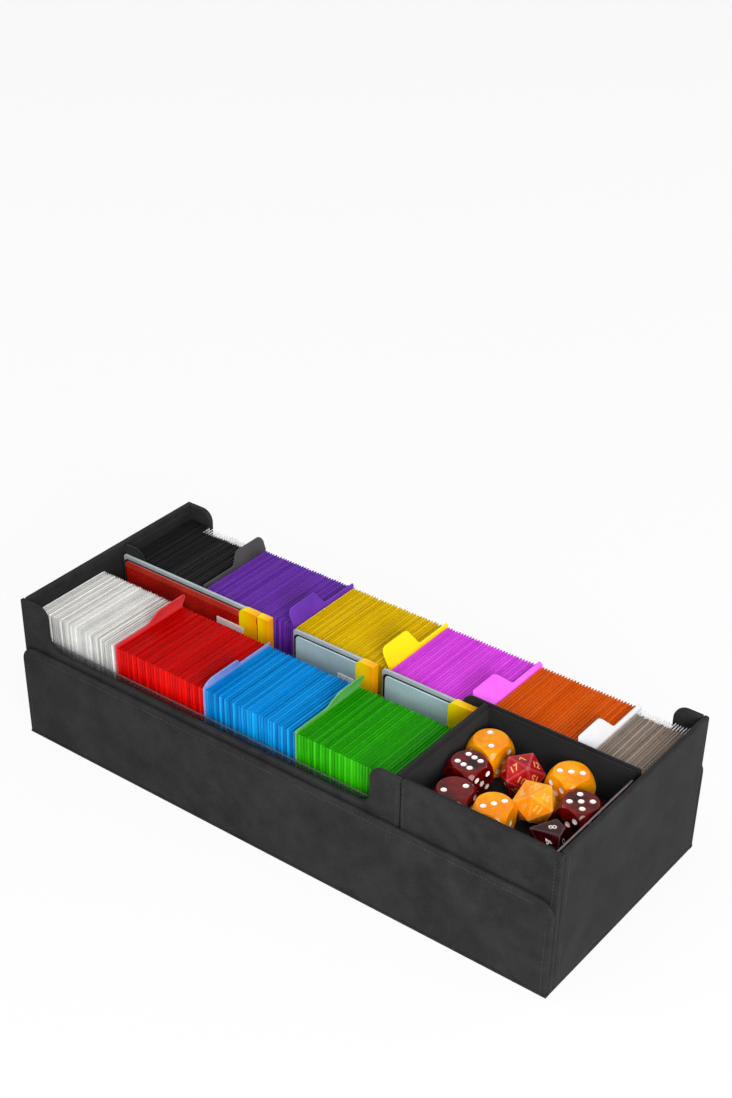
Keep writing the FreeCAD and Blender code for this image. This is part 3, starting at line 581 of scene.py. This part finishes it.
def pack(name):
    low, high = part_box(f"{name}_sleeve_pack")
    band_low, band_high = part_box(f"{name}_pack_band")
    body = f"{name}_pack"
    red = name == "red"
    film = "red_pack_film" if red else "grey_pack_film"
    right = band_high.x - BAND_COVER
    back = high.y - PLATE_DEPTH
    outline = bent_corner(low.x, right, low.z, high.z - PLATE_DROP, PLATE_ROUND)
    slab(f"{name}_pack_plate", outline, back, high.y, PLATE_EDGE, body, [RIM], film, f"{name}_sleeve_pack")
    left = low.x + FACE_INSET
    outline = bent_corner(left, right, low.z, high.z - FACE_DROP, FACE_ROUND)
    slab(f"{name}_pack_face", outline, low.y, back - GROOVE, FACE_EDGE, body, [PACK_FILMS[name]], film)
    laid = low.y + LAID_SINK
    if red:
        # A real fold strip, in paler film painted as the reflection band: a painted highlight.
        outline = bent_corner(left, right, high.z - FOLD_HEIGHT, high.z - FACE_DROP, FACE_ROUND)
        slab("red_pack_fold", outline, low.y - FOLD_PROUD, laid, FOLD_EDGE, body, [FOLD_PAINTED_HIGHLIGHT], film)
    # A dark sheet in the groove between plate and face: painted shade.
    outline = bent_corner(low.x + FACE_INSET / 2, right, low.z, high.z - SHADE_SHEET_DROP, PLATE_ROUND)
    slab(f"{name}_pack_groove_shade_sheet", outline, back - GROOVE + SHADE_SHEET_GAP, back - SHADE_SHEET_GAP, SHADE_SHEET_EDGE, body, [GROOVE_SHADE_LOOK],
         film)

    front, rear = low.y - BAND_PROUD, high.y + BAND_PROUD
    fold = band_low.x + CREASE_SHARE * (band_high.x - band_low.x) if red else band_high.x
    outline = bent_corner(band_low.x, fold, low.z, high.z, BAND_ROUND)
    slab(f"{name}_band_front", outline, front, rear, BAND_EDGE, body, [BAND], "orange_card",
         f"{name}_pack_band")
    if red:
        start = fold + CREASE
        outline = [(band_high.x, low.z), (band_high.x, high.z), (start, high.z), (start, low.z)]
        slab("red_band_end", outline, front, rear, BAND_EDGE, body, [BAND], "orange_card")
    if name in LABELS:
        before, length, drop = LABELS[name]
        left, top = band_low.x - before, high.z - drop
        outline = bent_corner(left, left + length, top - LABEL_HEIGHT, top, LABEL_ROUND)
        slab(f"{name}_label", outline, low.y - LABEL_PROUD, laid, LABEL_EDGE, body, [LABEL], film)


for name in PACK_FILMS:
    pack(name)


# Dice

PIP_PLACES = {
    1: ((0, 0),),
    2: ((-1, -1), (1, 1)),
    3: ((-1, -1), (0, 0), (1, 1)),
    4: ((-1, -1), (-1, 1), (1, -1), (1, 1)),
    5: ((-1, -1), (-1, 1), (0, 0), (1, -1), (1, 1)),
    6: ((-1, -1), (-1, 0), (-1, 1), (1, -1), (1, 0), (1, 1)),
}
PIP_SPREAD, PIP_RADIUS, PIP_RAISE = 4.9 * MM, 2.4 * MM, 1.4 * MM
# The pips on the top, front and right of each die, and the direction that those on its top lie along.
DIE_FACES = {"orange": ((2, 3, 1, RIGHT), (3, 1, 2, AWAY), (3, 2, 1, RIGHT)),
             "garnet": ((6, 5, 4, RIGHT), (2, 6, 3, RIGHT), (5, 6, 4, RIGHT))}


def solids_of(node):
    """Gives each closed solid of a CAD node as a mesh of its own."""
    shape = bmesh.new()
    shape.from_mesh(nodes[node].data)
    bmesh.ops.remove_doubles(shape, verts=shape.verts, dist=WELD_REACH)
    bmesh.ops.dissolve_limit(shape, angle_limit=FLAT_ANGLE, verts=shape.verts, edges=shape.edges)
    left, found = set(shape.verts), []
    while left:
        group, edge = set(), [min(left, key=lambda v: v.index)]
        while edge:
            vert = edge.pop()
            if vert not in group:
                group.add(vert)
                edge.extend(e.other_vert(vert) for e in vert.link_edges)
        left -= group
        order = sorted(group, key=lambda v: v.index)
        number = {v: i for i, v in enumerate(order)}
        faces = [[number[v] for v in f.verts] for f in shape.faces if f.verts[0] in group]
        found.append(mesh_of(node, [v.co for v in order], faces))
    shape.free()
    return found


def centre_of(mesh):
    corners = [[f(v.co[i] for v in mesh.vertices) for i in range(3)] for f in (min, max)]
    return (Vector(corners[0]) + Vector(corners[1])) / 2


def join(name, meshes, looks):
    """Joins meshes into one, each set with its own material."""
    shape = bmesh.new()
    for mesh, material in meshes:
        before = len(shape.faces)
        shape.from_mesh(mesh)
        shape.faces.ensure_lookup_table()
        if material is not None:
            for face in shape.faces[before:]:
                face.material_index = material
    made = bpy.data.meshes.new(name)
    shape.to_mesh(made)
    shape.free()
    for look in looks:
        made.materials.append(look)
    return made


def cube_turn(mesh):
    """The turn about the upright of a cube-like die, from its largest side face."""
    sides = [f for f in mesh.polygons if abs(f.normal.z) < 0.1]
    largest = max(sides, key=lambda f: f.area)
    return math.atan2(largest.normal.y, largest.normal.x) % (math.pi / 2)


def pip_balls(centre, turn, half, faces):
    """Balls that cut the pips of one die, whose top, front and right faces are given."""
    top, front, right, lie = faces
    spin = Matrix.Rotation(turn, 3, "Z")
    sides = ((top, UP, lie), (7 - top, -UP, lie), (front, -AWAY, RIGHT), (7 - front, AWAY, RIGHT),
             (right, RIGHT, AWAY), (7 - right, -RIGHT, AWAY))
    shape = bmesh.new()
    for value, out, across in sides:
        along = out.cross(across)
        for a, b in PIP_PLACES[value]:
            spot = out * (half + PIP_RAISE) + across * a * PIP_SPREAD + along * b * PIP_SPREAD
            place = Matrix.Translation(centre + spin @ spot)
            bmesh.ops.create_icosphere(shape, subdivisions=3, radius=PIP_RADIUS, matrix=place)
    return shape


def cube_dice(colour, look, edge):
    bodies, balls = [], bmesh.new()
    for mesh, faces in zip(solids_of(f"{colour}_dice"), DIE_FACES[colour]):
        centre = centre_of(mesh)
        half = max(v.co.z for v in mesh.vertices) - centre.z
        cut = pip_balls(centre, cube_turn(mesh), half, faces)
        held = bpy.data.meshes.new("cut")
        cut.to_mesh(held)
        cut.free()
        balls.from_mesh(held)
        bodies.append((mesh, 0))
    cutter_mesh = bpy.data.meshes.new("pips")
    balls.to_mesh(cutter_mesh)
    balls.free()
    cutter_mesh.materials.append(PIP_WHITE)
    cutter = bpy.data.objects.new("pips", cutter_mesh)
    bpy.context.scene.collection.objects.link(cutter)
    solid = settle(join(f"{colour}_dice_blank", bodies, [look]), *rounding(edge, 4))
    solid.materials.clear()
    solid.materials.append(look)
    cut = {"operation": "DIFFERENCE", "object": cutter, "solver": "EXACT", "material_mode": "TRANSFER"}
    result = settle(solid, ("BOOLEAN", cut))
    bpy.data.objects.remove(cutter)
    result.name = f"{colour}_dice"
    piece(f"{colour}_cube_dice", result, "accessory_tray", [look, PIP_WHITE], f"{colour}_resin",
          f"{colour}_dice")


NUMERAL_DEPTH, NUMERAL_RAISE = 0.06 * MM, 0.02 * MM


def numeral(text, size, place):
    """A numeral as a thin solid, laid by a placing matrix."""
    curve = bpy.data.curves.new("numeral", "FONT")
    curve.body = text
    curve.size = size
    curve.align_x = curve.align_y = "CENTER"
    curve.extrude = NUMERAL_DEPTH
    holder = bpy.data.objects.new("numeral", curve)
    bpy.context.scene.collection.objects.link(holder)
    mesh = bpy.data.meshes.new_from_object(holder.evaluated_get(bpy.context.evaluated_depsgraph_get()))
    bpy.data.objects.remove(holder)
    mesh.transform(place)
    mesh.materials.clear()
    return mesh


def lay(spot, out, up):
    """The placing of something flat on a face: at a spot, facing out, with its up side along the face."""
    across = up.cross(out).normalized()
    along = out.cross(across)
    turn = Matrix((across, along, out)).transposed().to_4x4()
    return Matrix.Translation(spot) @ turn


def side_order(side):
    """Orders a die's sides from its top down, and round the upright."""
    return -round(side.center.z, 5), round(math.atan2(side.normal.y, side.normal.x), 4)


def numbered_die(node, look, paint, slot, values, size, toward):
    """A many-sided die with rounded edges and a numeral on every face."""
    mesh = solids_of(node)[0]
    digits = []
    for side, value in zip(sorted(mesh.polygons, key=side_order), values):
        corners = [mesh.vertices[i].co for i in side.vertices]
        up = toward(side, corners) - side.center
        text = f"{value}." if value in (6, 9) else str(value)
        spot = side.center + side.normal * NUMERAL_RAISE
        digits.append((numeral(text, size, lay(spot, side.normal, up)), 1))
    blank = settle(mesh, *rounding(NUMBERED_EDGE))
    blank.materials.clear()
    made = join(f"{node}_look", [(blank, 0)] + digits, [look, paint])
    piece(f"{node}_numbered", made, "accessory_tray", [look, paint], slot, node)


def first_corner(side, corners):
    return corners[0]


def widest_corner(side, corners):
    return max(corners, key=lambda c: (c - side.center).length)


# How far the edges of the dice are rounded, in millimetres.
ORANGE_EDGE, GARNET_EDGE, NUMBERED_EDGE = 1.6, 0.8, 0.5
TWENTY_SIZE, TEN_SIZE = 6.0 * MM, 7.0 * MM
TWENTY = (7, 17, 12, 3, 19, 1, 10, 15, 5, 13, 2, 18, 9, 11, 4, 14, 8, 16, 6, 20)
TEN = (8, 4, 2, 0, 6, 7, 3, 5, 1, 9)
cube_dice("orange", ORANGE_RESIN, ORANGE_EDGE)
cube_dice("garnet", GARNET, GARNET_EDGE)
numbered_die("red_twenty_sided_die", RED_BALL, GOLD, "red_resin", TWENTY, TWENTY_SIZE, first_corner)
numbered_die("orange_twenty_sided_die", ORANGE_BALL, GOLD, "orange_resin", TWENTY[::-1], TWENTY_SIZE,
             first_corner)
numbered_die("dark_ten_sided_die", DARK_RESIN, PIP_WHITE, "garnet_resin", TEN, TEN_SIZE, widest_corner)


# Stitching

STITCH_PITCH, STITCH_LENGTH, STITCH_RADIUS = 2.9 * MM, 2.2 * MM, 0.28 * MM
STITCH_SIDES = 6
# The rings of a stitch: their places along its length, and their girths.
STITCH_RINGS = ((-0.5, 0.35), (-0.32, 1.0), (0.32, 1.0), (0.5, 0.35))
# How far the rows lie from an edge, from the seam, from the foot of a flap and from its bent corners.
STITCH_INSET, SEAM_INSET, FLAP_FOOT, FLAP_BEND = 4.2, 2.2, 3.0, 9.0


def stitch_row(points, faces, start, end, out):
    """Adds a row of stitches from start to end, lying in the face that out points away from."""
    start, end, out = Vector(start) * MM, Vector(end) * MM, Vector(out)
    along = (end - start).normalized()
    across = out.cross(along)
    count = max(1, int((end - start).length / STITCH_PITCH))
    for i in range(count):
        middle = start + (end - start) * ((i + 0.5) / count)
        first = len(points)
        for shift, girth in STITCH_RINGS:
            centre = middle + along * STITCH_LENGTH * shift
            for k in range(STITCH_SIDES):
                turn = math.tau * k / STITCH_SIDES
                spoke = across * math.cos(turn) + out * math.sin(turn)
                points.append(centre + spoke * STITCH_RADIUS * girth)
        tube(faces, first, STITCH_SIDES, len(STITCH_RINGS))


def stitching(name, body, rows):
    points, faces = [], []
    for row in rows:
        stitch_row(points, faces, *row)
    piece(name, mesh_of(name, points, faces, smooth=True), body, [THREAD], "black_wrap")


def flap_rows(node, out):
    """The stitches on a flap: along its top and up both its ends."""
    low, high = (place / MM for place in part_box(node))
    y = low.y if out < 0 else high.y
    left, right = low.x + STITCH_INSET, high.x - STITCH_INSET
    foot, top = low.z + FLAP_FOOT, high.z - STITCH_INSET
    face = (0, out, 0)
    rows = [((left + FLAP_BEND, y, top), (right - FLAP_BEND, y, top), face)]
    return rows + [((x, y, foot), (x, y, top - FLAP_BEND), face) for x in (left, right)]


def wall_rows():
    """The stitches on the walls of the box: beside the seam, at the bay's end, and round both ends."""
    low, high = (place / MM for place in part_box("front_wall"))
    panel_low, panel_high = (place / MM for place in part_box("bay_front_panel"))
    end_low, end_high = (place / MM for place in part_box("right_end_wall"))
    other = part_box("left_end_wall")[0].x / MM
    foot, top = low.z + STITCH_INSET, high.z - STITCH_INSET
    ahead = (0, -1, 0)
    rows = [((x, low.y, foot), (x, low.y, top), ahead)
            for x in (high.x - SEAM_INSET, panel_low.x + SEAM_INSET, panel_high.x - STITCH_INSET)]
    for x, out in ((end_high.x, 1), (other, -1)):
        front, back = end_low.y + STITCH_INSET, end_high.y - STITCH_INSET
        face = (out, 0, 0)
        rows += [((x, front, foot), (x, front, top), face), ((x, back, foot), (x, back, top), face),
                 ((x, front, foot), (x, back, foot), face)]
    return rows


stitching("front_flap_stitching", "front_flap", flap_rows("front_flap_board", -1))
stitching("back_flap_stitching", "back_flap", flap_rows("back_flap_board", 1))
stitching("box_stitching", "box", wall_rows())


# Camera, stage and light

PHOTO_SHIFT, PHOTO_HEIGHT = 183, 1098
CAMERA_PLACE = (0.5976, -0.78265, 0.78235)
CAMERA_TURN, CAMERA_TILT, CAMERA_ROLL = 36.752, 36.753, 0.864
CAMERA_LENS, CAMERA_SENSOR = 60.37, 36.0
CAMERA_SHIFT = PHOTO_SHIFT / PHOTO_HEIGHT
CAMERA_REACH = (0.01, 100.0)


def make_camera():
    turn, tilt, roll = (math.radians(a) for a in (CAMERA_TURN, CAMERA_TILT, CAMERA_ROLL))
    ahead = Vector((-math.sin(turn) * math.cos(tilt), math.cos(turn) * math.cos(tilt), -math.sin(tilt)))
    right = Vector((math.cos(turn), math.sin(turn), 0))
    up = right.cross(ahead)
    leaned = right * math.cos(roll) + up * math.sin(roll)
    upright = up * math.cos(roll) - right * math.sin(roll)
    lens = bpy.data.cameras.new("camera")
    lens.lens, lens.sensor_width, lens.shift_y = CAMERA_LENS, CAMERA_SENSOR, CAMERA_SHIFT
    lens.clip_start, lens.clip_end = CAMERA_REACH
    made = bpy.data.objects.new("camera", lens)
    facing = Matrix((leaned, upright, -ahead)).transposed().to_4x4()
    made.matrix_world = Matrix.Translation(CAMERA_PLACE) @ facing
    bpy.context.scene.collection.objects.link(made)
    bpy.context.scene.camera = made


def seen_ray(tree):
    """A value of 1 for rays from the camera and for those that mirror or pass through."""
    path = tree.nodes.new("ShaderNodeLightPath")
    total = path.outputs["Is Camera Ray"]
    for ray in ("Is Glossy Ray", "Is Transmission Ray"):
        add = tree.nodes.new("ShaderNodeMath")
        add.operation, add.use_clamp = "ADD", True
        tree.links.new(total, add.inputs[0])
        tree.links.new(path.outputs[ray], add.inputs[1])
        total = add.outputs["Value"]
    return total


FLOOR_HALF = 8.0
FLOOR_CORNERS = ((-1, -1), (1, -1), (1, 1), (-1, 1))
FLOOR_TONE = (0.9, 0.9, 0.9, 1.0)
# How much of the floor that is seen glows white, and the light from all around.
FLOOR_WHITE, AMBIENT = 0.9, 0.36
BOX_MIDDLE = (0, 0, 0.05)
# Each lamp: its place, where it aims, its size and its power.
LAMPS = {
    "key": ((1.0, -0.8, 0.62), (0.05, 0, 0.05), 0.7, 15.5),
    "fill": ((-0.2, -1.7, 0.8), BOX_MIDDLE, 1.2, 1.2),
    "top": ((-0.3, -0.5, 1.8), BOX_MIDDLE, 1.4, 8.0),
    "back": ((0.7, 1.5, 0.8), BOX_MIDDLE, 1.0, 6.0),
    "left": ((-1.6, -0.4, 0.8), BOX_MIDDLE, 1.0, 4.0),
}


def make_stage():
    corners = [(x * FLOOR_HALF, y * FLOOR_HALF, 0) for x, y in FLOOR_CORNERS]
    mesh = mesh_of("floor", corners, [(0, 1, 2, 3)])
    floor = bpy.data.objects.new("floor", mesh)
    bpy.context.scene.collection.objects.link(floor)
    look = bpy.data.materials.new("floor")
    look.use_nodes = True
    tree = look.node_tree
    tree.nodes.clear()
    matte = tree.nodes.new("ShaderNodeBsdfDiffuse")
    matte.inputs["Color"].default_value = FLOOR_TONE
    glow = tree.nodes.new("ShaderNodeEmission")
    glow.inputs["Strength"].default_value = 1.0
    share = tree.nodes.new("ShaderNodeMath")
    share.operation = "MULTIPLY"
    share.inputs[1].default_value = FLOOR_WHITE
    tree.links.new(seen_ray(tree), share.inputs[0])
    both = tree.nodes.new("ShaderNodeMixShader")
    tree.links.new(share.outputs["Value"], both.inputs[0])
    tree.links.new(matte.outputs["BSDF"], both.inputs[1])
    tree.links.new(glow.outputs["Emission"], both.inputs[2])
    out = tree.nodes.new("ShaderNodeOutputMaterial")
    tree.links.new(both.outputs["Shader"], out.inputs["Surface"])
    mesh.materials.append(look)

    world = bpy.data.worlds.new("studio")
    world.use_nodes = True
    tree = world.node_tree
    level = tree.nodes.new("ShaderNodeMapRange")
    level.inputs["To Min"].default_value = AMBIENT
    level.inputs["To Max"].default_value = 1.0
    tree.links.new(seen_ray(tree), level.inputs["Value"])
    tree.links.new(level.outputs["Result"], tree.nodes["Background"].inputs["Strength"])
    tree.nodes["Background"].inputs["Color"].default_value = (1.0, 1.0, 1.0, 1.0)
    bpy.context.scene.world = world


def make_lamp(name, place, aim, size, power):
    light = bpy.data.lights.new(name, "AREA")
    light.shape, light.size, light.energy = "DISK", size, power
    made = bpy.data.objects.new(name, light)
    made.location = place
    made.rotation_euler = (Vector(aim) - Vector(place)).to_track_quat("-Z", "Y").to_euler()
    bpy.context.scene.collection.objects.link(made)


make_camera()
make_stage()
for name, settings in LAMPS.items():
    make_lamp(name, *settings)
bpy.context.scene.view_settings.view_transform = "Standard"
